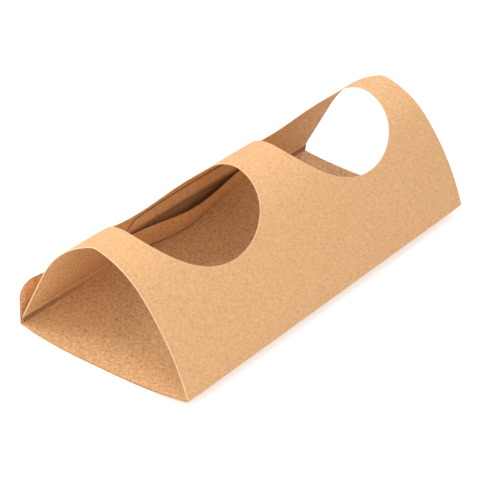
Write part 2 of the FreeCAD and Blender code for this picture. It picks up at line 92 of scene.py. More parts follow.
# %% [markdown]
# The carrier's cross section is one line: inner base panel, back wall, top fold, front panel, outer base,
# and the outer flap with its lock tab, which steps in through a slit of the wall.
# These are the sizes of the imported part, measured on the outer face of the board.

# %% Sizes of the folded sheet
SHEET_LENGTH = 220.0
BOARD = 0.45
LAYER_GAP = 0.12
BASE_WIDTH = 103.6
BASE_BOW = 4.0
BASE_FLAT = 18.0
RIDGE = (-0.3, 64.4)
FRONT_LEAN = math.radians(73.7)
FRONT_LOW_RADIUS = 123.0
FRONT_TOP_RADIUS = 46.4
WALL_LEAN = math.radians(29.6)
WALL_TOP_RADIUS = 55.7
SCORE = (49.6, 9.4)
FOOT_INSET = 1.3
TUCK_INSET = 1.8
HOLE_RADIUS = 38.4
HOLE_SPACING = 104.8
HOLE_SHIFT = 1.5
SLIT_HEIGHT = 19.0
SLIT_GAP = 2.4
SLIT_LENGTH = 104.6
TAB_WIDTH = 104.0
TAB_REACH = 18.8
TAB_SIDE = 14.2
TAB_TAPER = 2.2
TAB_CORNER = 1.6
TOE_SWING = math.radians(56.0)
LIP_LENGTH = 100.0
FLAP_HEIGHT = 23.0
FLAP_LEAN = math.radians(4.0)
FLAP_CORNER = 9.0

LAYER = BOARD + LAYER_GAP
HALF_BASE = BASE_WIDTH / 2
HALF_LENGTH = SHEET_LENGTH / 2
HALF_TAB = TAB_WIDTH / 2
FRONT_FOLD = (-HALF_BASE, BASE_BOW)
BACK_FOLD = (HALF_BASE, BASE_BOW)
BOW_RADIUS = ((HALF_BASE - BASE_FLAT / 2) ** 2 + BASE_BOW ** 2) / (2 * BASE_BOW)
print("the base is bowed with a radius of %.0f mm" % BOW_RADIUS)

# %% [markdown]
# A board bends in plain arcs between its folds, so the line is drawn from straight stretches and arcs.
# Each stretch becomes a row of close points. A spline through a few points would be quicker to write,
# but it would not keep the lengths of the panels true, and the cut-outs are measured along them.

# %% Stretches of the section line
POINT_STEP = 0.2


def line(start, end):
    """Close points on a straight stretch."""
    count = max(2, int(math.dist(start, end) / POINT_STEP) + 2)
    return np.linspace(start, end, count)


def arc(centre, start, end):
    """Close points on an arc, anticlockwise as seen from the near end of the carrier's X axis."""
    first = math.atan2(start[1] - centre[1], start[0] - centre[0])
    last = math.atan2(end[1] - centre[1], end[0] - centre[0])
    if last < first:
        last += 2 * math.pi
    radius = math.dist(start, centre)
    count = max(2, int(radius * (last - first) / POINT_STEP) + 2)
    turns = np.linspace(first, last, count)
    return np.stack([centre[0] + radius * np.cos(turns), centre[1] + radius * np.sin(turns)], axis=1)


def front_centres():
    """Centres of the two bends of the front panel, which meet without a kink."""
    low = (FRONT_FOLD[0] + FRONT_LOW_RADIUS * math.sin(FRONT_LEAN),
           FRONT_FOLD[1] - FRONT_LOW_RADIUS * math.cos(FRONT_LEAN))
    across = (RIDGE[0] - low[0], RIDGE[1] - low[1])
    span = math.hypot(*across)
    between = FRONT_LOW_RADIUS - FRONT_TOP_RADIUS
    along = (between ** 2 - FRONT_TOP_RADIUS ** 2 + span ** 2) / (2 * span)
    aside = math.sqrt(between ** 2 - along ** 2)
    unit = (across[0] / span, across[1] / span)
    return low, (low[0] + along * unit[0] - aside * unit[1], low[1] + along * unit[1] + aside * unit[0])


def wall_bend():
    """Centre of the back wall's bend, and the length of the flat part above the score line."""
    up = (-math.sin(WALL_LEAN), math.cos(WALL_LEAN))
    inward = (-math.cos(WALL_LEAN), -math.sin(WALL_LEAN))
    offset = [SCORE[axis] + WALL_TOP_RADIUS * inward[axis] - RIDGE[axis] for axis in (0, 1)]
    half = offset[0] * up[0] + offset[1] * up[1]
    rest = offset[0] ** 2 + offset[1] ** 2 - WALL_TOP_RADIUS ** 2
    reach = math.sqrt(half ** 2 - rest)
    nearer = -half - reach
    length = nearer if nearer > 0 else -half + reach
    centre = [SCORE[axis] + length * up[axis] + WALL_TOP_RADIUS * inward[axis] for axis in (0, 1)]
    return centre, length


def on_wall(height, outward=0.0):
    """Place above the score line on the flat part of the back wall, and off its outer face."""
    return (SCORE[0] - height * math.sin(WALL_LEAN) + outward * math.cos(WALL_LEAN),
            SCORE[1] + height * math.cos(WALL_LEAN) + outward * math.sin(WALL_LEAN))


def bow_height(across, radius, lift):
    """Height of a base layer above the ground at a distance from its middle."""
    beyond = np.maximum(np.abs(across) - BASE_FLAT / 2, 0)
    return lift + radius - np.sqrt(radius ** 2 - beyond ** 2)


low_centre, top_centre = front_centres()
bend_centre, flat_run = wall_bend()
print("the back wall is flat for %.1f mm above its score line" % flat_run)

# %% [markdown]
# Real board does not fold to a knife edge. At each fold the fibres on the outside stretch round a small bow,
# so the corner between two stretches is swapped for a short curve. A bevel after folding would do this too,
# but the curve keeps the fold's rows in step on both faces of the board.

# %% Fold up the section line
FOLD_ROUND = 0.9
RIDGE_ROUND = 1.6
KNEE_ROUND = 2.0
STEP_ROUND = 0.6
FREE_REACH = 60.0
FOLD_STEPS = 12


def cut_back(points, length, from_end):
    """Take a length off one end of a stretch."""
    if from_end:
        return cut_back(points[::-1], length, False)[::-1]
    runs = np.concatenate([[0], np.cumsum(np.hypot(*np.diff(points, axis=0).T))])
    start = [np.interp(length, runs, points[:, axis]) for axis in (0, 1)]
    return np.concatenate([[start], points[runs > length + POINT_STEP / 4]])


def fold_curve(start, corner, end):
    """Short curve from start to end that leans on the corner."""
    t = np.linspace(0, 1, FOLD_STEPS + 1)[:, None]
    return (1 - t) ** 2 * start + 2 * t * (1 - t) * corner + t ** 2 * end


def folded(stretches, rounds):
    """One line from stretches. Each joint has a fold size, or 0 where two stretches run on smoothly."""
    points = stretches[0]
    folds = []
    for stretch, size in zip(stretches[1:], rounds):
        corner = stretch[0]
        if size:
            points = cut_back(points, size, True)
            stretch = cut_back(stretch, size, False)
            curve = fold_curve(points[-1], corner, stretch[0])
            before = np.sum(np.hypot(*np.diff(points, axis=0).T))
            folds.append(before + np.sum(np.hypot(*np.diff(curve, axis=0).T)) / 2)
            points = np.concatenate([points, curve[1:-1]])
            points = np.concatenate([points, stretch])
        else:
            points = np.concatenate([points, stretch[1:]])
    runs = np.concatenate([[0], np.cumsum(np.hypot(*np.diff(points, axis=0).T))])
    return points, runs, folds


tuck_reach = HALF_BASE - TUCK_INSET
foot_reach = HALF_BASE - FOOT_INSET
inner_bow = BOW_RADIUS - LAYER
tuck_edge = (-tuck_reach, float(bow_height(tuck_reach, inner_bow, LAYER)))
foot_fold = (foot_reach, float(bow_height(foot_reach, inner_bow, LAYER)))
joint_share = FRONT_LOW_RADIUS / (FRONT_LOW_RADIUS - FRONT_TOP_RADIUS)
joint = tuple(low + (top - low) * joint_share for low, top in zip(low_centre, top_centre))
slit_top = SLIT_HEIGHT + SLIT_GAP
knee = on_wall(0, LAYER)
step_low = on_wall(SLIT_HEIGHT, LAYER)
step_high = on_wall(slit_top, -LAYER)
tab_flat_end = on_wall(flat_run, -LAYER)
tab_radius = WALL_TOP_RADIUS - LAYER
tab_turn = WALL_LEAN + (TAB_REACH - (flat_run - slit_top)) / tab_radius
tab_end = (bend_centre[0] + tab_radius * math.cos(tab_turn), bend_centre[1] + tab_radius * math.sin(tab_turn))
free_end = (BACK_FOLD[0] - FREE_REACH * math.sin(FLAP_LEAN),
            BACK_FOLD[1] + FREE_REACH * math.cos(FLAP_LEAN))

body_stretches = [
    arc((-BASE_FLAT / 2, inner_bow + LAYER), tuck_edge, (-BASE_FLAT / 2, LAYER)),
    line((-BASE_FLAT / 2, LAYER), (BASE_FLAT / 2, LAYER)),
    arc((BASE_FLAT / 2, inner_bow + LAYER), (BASE_FLAT / 2, LAYER), foot_fold),
    line(foot_fold, SCORE),
    line(SCORE, on_wall(flat_run)),
    arc(bend_centre, on_wall(flat_run), RIDGE),
    arc(top_centre, RIDGE, joint),
    arc(low_centre, joint, FRONT_FOLD),
    arc((-BASE_FLAT / 2, BOW_RADIUS), FRONT_FOLD, (-BASE_FLAT / 2, 0)),
    line((-BASE_FLAT / 2, 0), (BASE_FLAT / 2, 0)),
    arc((BASE_FLAT / 2, BOW_RADIUS), (BASE_FLAT / 2, 0), BACK_FOLD),
]
body_rounds = [0, 0, FOLD_ROUND, FOLD_ROUND, 0, RIDGE_ROUND, 0, FOLD_ROUND, 0, 0]
held_flap = [line(BACK_FOLD, knee), line(knee, step_low), line(step_low, step_high),
             line(step_high, tab_flat_end), arc(bend_centre, tab_flat_end, tab_end)]
held_rounds = body_rounds + [FOLD_ROUND, KNEE_ROUND, STEP_ROUND, STEP_ROUND, 0]
free_rounds = body_rounds + [FOLD_ROUND]
held_line, held_runs, held_folds = folded(body_stretches + held_flap, held_rounds)
free_line, free_runs = folded(body_stretches + [line(BACK_FOLD, free_end)], free_rounds)[:2]
foot_run, score_run, ridge_run, front_run, back_run, knee_run, step_run, tab_run = held_folds
blank_width = held_runs[-1]
print("folds at", [round(run, 1) for run in held_folds], "mm along a blank of %.1f mm" % blank_width)

# %% [markdown]
# The blank is modelled flat, as a die cutter sees it: X is the carrier's length and Y runs along the section
# line. A grid is added, and its rows are slid so that they crowd at the folds and stay wide on the plain
# panels. Even rows would have to be many times as many to bend as cleanly. Solidify then gives the board
# its thickness.

# %% Flat blank with rows crowded at the folds
WIDE_STEP = 2.2
FOLD_SPAN = 1.15
RIDGE_SPAN = 2.3
FOLD_ROWS = 6
BEND_ROWS = 5
LEAST_GAP = 0.05


def spaced(stops, steps):
    """Evenly placed values between stops, each gap with its own largest step."""
    values = [stops[0]]
    for start, end, step in zip(stops, stops[1:], steps):
        count = max(1, math.ceil((end - start) / step))
        values += [start + (end - start) * index / count for index in range(1, count + 1)]
    return values


stops = [0.0]
steps = []
for run in held_folds:
    span = RIDGE_SPAN if run == ridge_run else FOLD_SPAN
    count = BEND_ROWS if run in (ridge_run, knee_run) else FOLD_ROWS
    stops += [max(run - span, stops[-1] + LEAST_GAP), run + span]
    steps += [WIDE_STEP, span / count]
stops.append(blank_width)
steps.append(WIDE_STEP)
rows = spaced(stops, steps)
columns = spaced([-HALF_LENGTH, -HALF_TAB, HALF_TAB, HALF_LENGTH], [WIDE_STEP] * 3)

bpy.ops.object.select_all(action="DESELECT")
bpy.ops.mesh.primitive_grid_add(x_subdivisions=len(columns) - 1, y_subdivisions=len(rows) - 1, size=1)
blank = bpy.context.object
blank.name = "carrier_board"
grid = np.empty(len(blank.data.vertices) * 3)
blank.data.vertices.foreach_get("co", grid)
grid = grid.reshape(-1, 3)
grid[:, 0] = np.array(columns)[np.rint((grid[:, 0] + 0.5) * (len(columns) - 1)).astype(int)]
grid[:, 1] = np.array(rows)[np.rint((grid[:, 1] + 0.5) * (len(rows) - 1)).astype(int)]
blank.data.vertices.foreach_set("co", grid.ravel())
thicken = blank.modifiers.new("board_thickness", "SOLIDIFY")
thicken.thickness = BOARD
thicken.offset = 1
bpy.ops.object.modifier_apply(modifier=thicken.name)
print("blank has %d columns, %d rows and %d faces" % (len(columns), len(rows), len(blank.data.polygons)))

# %% [markdown]
# The cut-outs are stamped while the sheet is flat, so each cup hole is a true circle and every edge is
# square. The cutters are two cylinders, a box for the slit, and one plate whose outline leaves the flap and
# the arched tab. They are joined and taken away in one Boolean.

# %% Cutters for the cup holes and the slit
RIM_SIDES = 144
CUTTER_DEPTH = 4.0
cutters = []
bpy.ops.object.select_all(action="DESELECT")
for side in (-1, 1):
    bpy.ops.mesh.primitive_cylinder_add(vertices=RIM_SIDES, radius=HOLE_RADIUS, depth=CUTTER_DEPTH,
                                        location=(side * HOLE_SPACING / 2, ridge_run + HOLE_SHIFT, 0))
    cutters.append(bpy.context.object)
slit_run = score_run + SLIT_HEIGHT
bpy.ops.mesh.primitive_cube_add(size=1, location=(0, slit_run + SLIT_GAP / 2, 0),
                                scale=(SLIT_LENGTH, SLIT_GAP, CUTTER_DEPTH))
cutters.append(bpy.context.object)
print("cup holes %.1f mm across, slit %.0f mm long" % (2 * HOLE_RADIUS, SLIT_LENGTH))

# %% Cutter round the flap and the tab
CORNER_STEPS = 10
TAB_STEPS = 24
MARGIN = 5.0
FLAP_DROP = 0.1
flap_side = step_run - FLAP_DROP
flap_tip = back_run + FLAP_HEIGHT
flap_rise = (flap_side - flap_tip) / (HALF_LENGTH - HALF_TAB)


def flap_outline():
    """Right half of the kept outline: the sheet's end, the flap's corner, and the tab up to its middle."""
    outline = []
    for index in range(CORNER_STEPS + 1):
        turn = math.pi / 2 * index / CORNER_STEPS
        inwards = FLAP_CORNER * (1 - math.cos(turn))
        below = FLAP_CORNER * (1 - math.sin(turn))
        rise = flap_rise * FLAP_CORNER * math.sin(turn)
        outline.append((HALF_LENGTH - inwards, flap_tip - below + rise))
    outline.append((HALF_TAB, flap_side))
    corner = (HALF_TAB - TAB_TAPER, tab_run + TAB_SIDE)
    rise = TAB_REACH - TAB_SIDE
    radius = (corner[0] ** 2 + rise ** 2) / (2 * rise)
    side_end = (corner[0] + TAB_CORNER * TAB_TAPER / TAB_SIDE, corner[1] - TAB_CORNER)
    arch_reach = corner[0] - TAB_CORNER
    arch_start = (arch_reach, tab_run + TAB_REACH - radius + math.sqrt(radius ** 2 - arch_reach ** 2))
    outline.append((HALF_TAB, tab_run))
    for place in fold_curve(np.array(side_end), np.array(corner), np.array(arch_start)):
        outline.append(tuple(place))
    for index in range(1, TAB_STEPS + 1):
        across = arch_reach * (1 - index / TAB_STEPS)
        outline.append((across, tab_run + TAB_REACH - radius + math.sqrt(radius ** 2 - across ** 2)))
    return outline


right_half = flap_outline()
left_half = [(-place[0], place[1]) for place in right_half[-2::-1]]
kept = right_half + left_half
far = [(-HALF_LENGTH - MARGIN, kept[-1][1]), (-HALF_LENGTH - MARGIN, blank_width + MARGIN),
       (HALF_LENGTH + MARGIN, blank_width + MARGIN), (HALF_LENGTH + MARGIN, kept[0][1])]
plate_data = bpy.data.meshes.new("outline_plate")
plate_data.from_pydata([(x, y, -CUTTER_DEPTH / 2) for x, y in kept + far], [], [range(len(kept + far))])
plate = bpy.data.objects.new("outline_plate", plate_data)
bpy.context.collection.objects.link(plate)
bpy.ops.object.select_all(action="DESELECT")
plate.select_set(True)
bpy.context.view_layer.objects.active = plate
bpy.ops.object.mode_set(mode="EDIT")
bpy.ops.mesh.select_all(action="SELECT")
bpy.ops.mesh.extrude_region_move(TRANSFORM_OT_translate={"value": (0, 0, CUTTER_DEPTH)})
bpy.ops.mesh.select_all(action="SELECT")
bpy.ops.mesh.normals_make_consistent(inside=False)
bpy.ops.object.mode_set(mode="OBJECT")
cutters.append(plate)
print("outline has %d points" % len(kept))

# %% Stamp the blank
for cutter in cutters:
    cutter.select_set(True)
bpy.ops.object.join()
stamp = bpy.context.object
bpy.ops.object.select_all(action="DESELECT")
blank.select_set(True)
bpy.context.view_layer.objects.active = blank
cut = blank.modifiers.new("stamp", "BOOLEAN")
cut.operation = "DIFFERENCE"
cut.solver = "EXACT"
cut.object = stamp
bpy.ops.object.modifier_apply(modifier=cut.name)
bpy.data.objects.remove(stamp)
print("stamped blank has %d faces" % len(blank.data.polygons))

# %% [markdown]
# Folding: Blender has no fold tool, and a chain of Bend modifiers would stretch the board at each fold.
# So each vertex of the flat blank is carried to its own place on the section line, and its height over the
# flat sheet becomes its depth in the folded board. The flat place is kept as an attribute for the materials.

# %% Sort the faces and remember the flat places
FACING = 0.5
face_count = len(blank.data.polygons)
normals = np.empty(face_count * 3)
blank.data.polygons.foreach_get("normal", normals)
upward = normals.reshape(-1, 3)[:, 2]
face_kind = np.where(upward < -FACING, 0, np.where(upward > FACING, 1, 2)).astype(np.int32)
flat = np.empty(len(blank.data.vertices) * 3)
blank.data.vertices.foreach_get("co", flat)
flat = flat.reshape(-1, 3)
flat_place = blank.data.attributes.new("flat_place", "FLOAT_VECTOR", "POINT")
flat_place.data.foreach_set("vector", flat.ravel())
print("outer, inner and cut faces:", [int(np.sum(face_kind == kind)) for kind in (0, 1, 2)])

# %% Carry the vertices to the section line
SLOPE_REACH = 0.3


def on_line(points, runs, run, depth):
    """Places at runs along a section line, moved into the board by a depth."""
    here = np.stack([np.interp(run, runs, points[:, axis]) for axis in (0, 1)], axis=1)
    ahead = np.stack([np.interp(run + SLOPE_REACH, runs, points[:, axis]) for axis in (0, 1)], axis=1)
    behind = np.stack([np.interp(run - SLOPE_REACH, runs, points[:, axis]) for axis in (0, 1)], axis=1)
    slope = ahead - behind
    slope /= np.hypot(slope[:, 0], slope[:, 1])[:, None]
    inward = np.stack([-slope[:, 1], slope[:, 0]], axis=1)
    return here + inward * depth[:, None]


def eased(value):
    """Smooth step from 0 to 1."""
    value = np.clip(value, 0, 1)
    return value * value * (3 - 2 * value)


along = flat[:, 0]
run = flat[:, 1]
depth = flat[:, 2]
held = on_line(held_line, held_runs, run, depth)
free = on_line(free_line, free_runs, run, depth)
twist = np.clip((np.abs(along) - HALF_TAB) / (HALF_LENGTH - HALF_TAB), 0, 1) * (run > back_run - FOLD_SPAN)
section = held * (1 - twist[:, None]) + free * twist[:, None]

# %% [markdown]
# A hole that crosses a fold weakens it. On the real carrier the top fold goes soft just beside the cup holes,
# and the wall behind it bulges out. A sculpting brush could do this by hand. Here each place near a rim is
# moved to the mean of places before and behind it on the section line, and then a little along the board's
# normal, found from a place one millimetre further out. Both fade out away from the rims.

# %% Let the board bulge a little beside the cup holes
RIM_REACH = 7.0
SOFT_REACH = 4.0
SOFT_SPAN = 11.0
SOFT_SAMPLES = 9
BULGE = 1.2
BULGE_BEHIND = 9.0
BULGE_REACH = 7.0
aside = np.abs(along)
near_rim = (np.exp(-((aside - HOLE_SPACING / 2 + HOLE_RADIUS) / RIM_REACH) ** 2)
            + np.exp(-((aside - HOLE_SPACING / 2 - HOLE_RADIUS) / RIM_REACH) ** 2))
soft_share = near_rim * eased(1 - np.abs(run - ridge_run) / SOFT_SPAN)
softened = np.mean([on_line(held_line, held_runs, run + offset * (soft_share > 0), depth)
                    for offset in np.linspace(-SOFT_REACH, SOFT_REACH, SOFT_SAMPLES)], axis=0)
outwards = on_line(held_line, held_runs, run, depth - 1) - held
bulge = BULGE * near_rim * np.exp(-((run - ridge_run + BULGE_BEHIND) / BULGE_REACH) ** 2)
section += soft_share[:, None] * (softened - held) + bulge[:, None] * outwards
print("the back rims of the cup holes bulge %.1f mm" % bulge.max())

# %% [markdown]
# The lock tab pushes the slit's lower lip inwards, and the foot of the wall swings with it in the middle of
# the length. That opens the gap that is seen through the near cup hole. Cloth tools could find such a shape,
# but stiff board needs only one turn. The narrow toe between the foot's fold and the score line turns about
# the fold, and the strip above it, up to the slit, moves along without turning.

# %% Push the foot of the wall inwards
FOLD_BLEND = 1.2
SLIT_MIDDLE = slit_run + SLIT_GAP / 2


def swung(places, middle, angle):
    """Places turned about a middle in the section plane."""
    off = places - middle
    return middle + np.stack([off[:, 0] * np.cos(angle) - off[:, 1] * np.sin(angle),
                              off[:, 0] * np.sin(angle) + off[:, 1] * np.cos(angle)], axis=1)


swing = TOE_SWING * (0.5 + 0.5 * np.cos(math.pi * np.clip(along / (LIP_LENGTH / 2), -1, 1)))
foot_middle = np.array(foot_fold)
score_place = np.repeat([SCORE], len(along), axis=0)
on_toe = swung(section, foot_middle, swing * eased((run - foot_run + FOLD_BLEND / 2) / FOLD_BLEND))
lifted = section + swung(score_place, foot_middle, swing) - score_place
above = eased((run - score_run + FOLD_BLEND / 2) / FOLD_BLEND)[:, None]
pushed = on_toe * (1 - above) + lifted * above
in_foot = (run > foot_run - FOLD_BLEND) & (run < SLIT_MIDDLE)
section = np.where(in_foot[:, None], pushed, section)
print("the lock tab pushes the score line %.1f mm inwards" % (section[:, 0] - held[:, 0])[in_foot].min())

# %% Write the folded places
SMOOTH_ANGLE = math.radians(40)
if not np.isfinite(section).all():
    raise ValueError("a vertex has no place")
folded_places = np.stack([along, section[:, 0], section[:, 1]], axis=1) * MM
blank.data.vertices.foreach_set("co", folded_places.ravel())
blank.data.update()
board = blank
bpy.ops.object.shade_smooth_by_angle(angle=SMOOTH_ANGLE)
print("lowest corner of the folded box, mm:", np.round(folded_places.min(axis=0) / MM, 2))
print("highest corner of the folded box, mm:", np.round(folded_places.max(axis=0) / MM, 2))

# %% [markdown]
# Kraft board is a felt of brown fibres. From near, it shows short pale and dark fibres lying every way,
# fine grain between them and soft clouds where the pulp is thicker. Each is a layer of noise in a node group,
# read from the flat sheet, so the grain follows the board over its folds.

# %% Node helpers
def add_node(tree, kind, **values):
    """Node of one kind with its plain settings."""
    node = tree.nodes.new(kind)
    for name, value in values.items():
        setattr(node, name, value)
    return node


def feed(tree, target, source):
    """Set a socket to a value, or link it to another node's output."""
    if hasattr(source, "links"):
        tree.links.new(source, target)
    else:
        target.default_value = source


def arithmetic(tree, operation, first, second=None, third=None):
    """One Math node, given back as its output."""
    node = add_node(tree, "ShaderNodeMath", operation=operation)
    for socket, source in zip(node.inputs, (first, second, third)):
        if source is not None:
            feed(tree, socket, source)
    return node.outputs[0]


def stepped(tree, value, low, high):
    """Smooth mask that rises from 0 to 1 between two values."""
    node = add_node(tree, "ShaderNodeMapRange", interpolation_type="SMOOTHSTEP")
    feed(tree, node.inputs["Value"], value)
    feed(tree, node.inputs["From Min"], low)
    feed(tree, node.inputs["From Max"], high)
    return node.outputs[0]


def blended(tree, factor, first, second):
    """Colour between two colours."""
    node = add_node(tree, "ShaderNodeMix", data_type="RGBA")
    feed(tree, node.inputs[0], factor)
    feed(tree, node.inputs[6], first)
    feed(tree, node.inputs[7], second)
    return node.outputs[2]


def new_group(name, inputs, outputs):
    """Empty shader node group with named sockets."""
    group = bpy.data.node_groups.new(name, "ShaderNodeTree")
    for socket_name, kind in inputs:
        group.interface.new_socket(socket_name, in_out="INPUT", socket_type="NodeSocket" + kind)
    for socket_name, kind in outputs:
        group.interface.new_socket(socket_name, in_out="OUTPUT", socket_type="NodeSocket" + kind)
    return group, group.nodes.new("NodeGroupInput"), group.nodes.new("NodeGroupOutput")


def colour(red, green, blue):
    """Linear colour from the 0 to 255 values that a picture shows."""
    return tuple(((value / 255 + 0.055) / 1.055) ** 2.4 for value in (red, green, blue)) + (1.0,)


# %% Node group: one direction of fibres
CURL_SCALE = 0.35
CURL_REACH = 1.6
FIBRE_FADE = 0.08


def fibre_group():
    """Thin streaks of one direction, each a stretched grain of noise cut off near its top."""
    numbers = [(name, "Float") for name in ("Turn", "Length", "Width", "Rarity")]
    group, source, result = new_group("fibre_streaks", [("Place", "Vector")] + numbers, [("Mask", "Float")])
    drift = add_node(group, "ShaderNodeTexNoise", noise_dimensions="2D")
    group.links.new(source.outputs["Place"], drift.inputs["Vector"])
    drift.inputs["Scale"].default_value = CURL_SCALE
    drift.inputs["Detail"].default_value = 0
    curl = add_node(group, "ShaderNodeVectorMath", operation="MULTIPLY_ADD")
    group.links.new(drift.outputs["Color"], curl.inputs[0])
    curl.inputs[1].default_value = (CURL_REACH, CURL_REACH, 0)
    group.links.new(source.outputs["Place"], curl.inputs[2])
    turned = add_node(group, "ShaderNodeVectorRotate", rotation_type="Z_AXIS")
    group.links.new(curl.outputs[0], turned.inputs["Vector"])
    group.links.new(source.outputs["Turn"], turned.inputs["Angle"])
    stretch = add_node(group, "ShaderNodeCombineXYZ")
    feed(group, stretch.inputs[0], arithmetic(group, "DIVIDE", 1.0, source.outputs["Length"]))
    feed(group, stretch.inputs[1], arithmetic(group, "DIVIDE", 1.0, source.outputs["Width"]))
    scaled = add_node(group, "ShaderNodeVectorMath", operation="MULTIPLY")
    group.links.new(turned.outputs[0], scaled.inputs[0])
    group.links.new(stretch.outputs[0], scaled.inputs[1])
    grain = add_node(group, "ShaderNodeTexNoise", noise_dimensions="2D")
    group.links.new(scaled.outputs[0], grain.inputs["Vector"])
    grain.inputs["Scale"].default_value = 1
    grain.inputs["Detail"].default_value = 0
    top = arithmetic(group, "ADD", source.outputs["Rarity"], FIBRE_FADE)
    feed(group, result.inputs["Mask"], stepped(group, grain.outputs["Fac"], source.outputs["Rarity"], top))
    return group


fibres = fibre_group()
print("made node group", fibres.name)

# %% Node group: kraft pulp
SPECK_SHARE = 0.35
PALE_RISE = 0.5
GRAIN_RISE = 0.6
DARK_RISE = -0.3


def pulp_group():
    """Colour and height of kraft board at a place on the flat sheet, in millimetres."""
    tints = [(name, "Color") for name in ("Pulp", "Pale Fibre", "Dark Fibre")]
    shares = [(name, "Float") for name in ("Streaks", "Mottle", "Cloud")]
    group, source, result = new_group("kraft_pulp", [("Place", "Vector")] + tints + shares,
                                      [("Color", "Color"), ("Height", "Float")])
    place = source.outputs["Place"]

    def noise(scale, detail):
        """Noise of a scale per millimetre."""
        node = add_node(group, "ShaderNodeTexNoise", noise_dimensions="2D")
        group.links.new(place, node.inputs["Vector"])
        node.inputs["Scale"].default_value = scale
        node.inputs["Detail"].default_value = detail
        return node.outputs["Fac"]

    def streaks(turn, length, width, rarity):
        """Fibres of one direction, with their length and width in millimetres."""
        node = add_node(group, "ShaderNodeGroup", node_tree=fibres)
        group.links.new(place, node.inputs["Place"])
        for name, value in (("Turn", turn), ("Length", length), ("Width", width), ("Rarity", rarity)):
            node.inputs[name].default_value = value
        return node.outputs["Mask"]

    def times(mask, share):
        """Mask made weaker by a share."""
        return arithmetic(group, "MULTIPLY", mask, share)

    clouds = stepped(group, noise(scale=0.11, detail=3), low=0.3, high=0.7)
    mottle = stepped(group, noise(scale=0.55, detail=4), low=0.35, high=0.65)
    grain = stepped(group, noise(scale=1.5, detail=4), low=0.3, high=0.7)
    specks = stepped(group, noise(scale=1.1, detail=2), low=0.70, high=0.76)
    lengthways = streaks(turn=0.05, length=4.6, width=0.24, rarity=0.60)
    crossways = streaks(turn=1.45, length=2.6, width=0.24, rarity=0.62)
    slanting = streaks(turn=-0.7, length=3.6, width=0.28, rarity=0.62)
    pale = arithmetic(group, "MAXIMUM", arithmetic(group, "MAXIMUM", lengthways, crossways), slanting)
    short_dark = streaks(turn=0.9, length=2.4, width=0.20, rarity=0.66)
    long_dark = streaks(turn=-0.15, length=3.0, width=0.20, rarity=0.65)
    dark = arithmetic(group, "MAXIMUM", short_dark, long_dark)
    layers = ((times(clouds, source.outputs["Cloud"]), "Dark Fibre"),
              (times(mottle, source.outputs["Mottle"]), "Dark Fibre"),
              (times(grain, source.outputs["Streaks"]), "Pale Fibre"),
              (times(pale, source.outputs["Streaks"]), "Pale Fibre"),
              (times(dark, source.outputs["Streaks"]), "Dark Fibre"),
              (times(specks, SPECK_SHARE), "Dark Fibre"))
    shade = source.outputs["Pulp"]
    for mask, tint in layers:
        shade = blended(group, mask, shade, source.outputs[tint])
    feed(group, result.inputs["Color"], shade)
    height = arithmetic(group, "MULTIPLY_ADD", pale, PALE_RISE, times(grain, GRAIN_RISE))
    height = arithmetic(group, "MULTIPLY_ADD", dark, DARK_RISE, height)
    feed(group, result.inputs["Height"], height)
    return group


pulp = pulp_group()
print("made node group", pulp.name)

# %% [markdown]
# The board is worn where it was cut and folded: the rims are scuffed paler, and so are the folds of the outer
# face. On the cut edge the pale rims also stand for light, as painted highlight on rims that catch it.
# Painted masks could show this, but masks worked out from the flat place stay sharp from any distance.
# They measure how far a place is from a cup hole's rim, from an end of the wall or the front, or from a fold.

# %% Masks for rims and folds
BEFORE_FOLD = 0.4
AFTER_FOLD = 0.2


def flat_parts(tree):
    """Flat place in millimetres, and its two parts along the length and along the section line."""
    place = add_node(tree, "ShaderNodeAttribute", attribute_name="flat_place")
    parts = add_node(tree, "ShaderNodeSeparateXYZ")
    tree.links.new(place.outputs["Vector"], parts.inputs[0])
    return place.outputs["Vector"], parts.outputs[0], parts.outputs[1]


def opposite(tree, mask):
    """Mask that is 1 where another is 0."""
    return arithmetic(tree, "SUBTRACT", 1.0, mask)


def distance(tree, value, middle):
    """How far a value is from a middle."""
    return arithmetic(tree, "ABSOLUTE", arithmetic(tree, "SUBTRACT", value, float(middle)))


def past_fold(tree, run_out, fold):
    """Mask that rises to 1 where the section line passes a fold."""
    return stepped(tree, run_out, float(fold) - BEFORE_FOLD, float(fold) + AFTER_FOLD)


def fold_mask(tree, run_out, folds, width):
    """Mask that rises to 1 on fold lines."""
    near = None
    for fold in folds:
        off = distance(tree, run_out, fold)
        near = off if near is None else arithmetic(tree, "MINIMUM", near, off)
    return opposite(tree, stepped(tree, near, 0.0, width))


def rim_mask(tree, along_out, run_out, width):
    """Mask that rises to 1 at the cup holes' rims and at the ends of the wall and the front panel."""
    aside = arithmetic(tree, "SUBTRACT", arithmetic(tree, "ABSOLUTE", along_out), HOLE_SPACING / 2)
    over = arithmetic(tree, "SUBTRACT", run_out, ridge_run + HOLE_SHIFT)
    squares = arithmetic(tree, "MULTIPLY_ADD", aside, aside, arithmetic(tree, "MULTIPLY", over, over))
    rim = arithmetic(tree, "SUBTRACT", arithmetic(tree, "SQRT", squares), HOLE_RADIUS)
    end = arithmetic(tree, "SUBTRACT", HALF_LENGTH, arithmetic(tree, "ABSOLUTE", along_out))
    near = arithmetic(tree, "MINIMUM", rim, end)
    panels = arithmetic(tree, "MULTIPLY", past_fold(tree, run_out, score_run),
                        opposite(tree, past_fold(tree, run_out, front_run)))
    return arithmetic(tree, "MULTIPLY", opposite(tree, stepped(tree, near, 0.0, width)), panels)
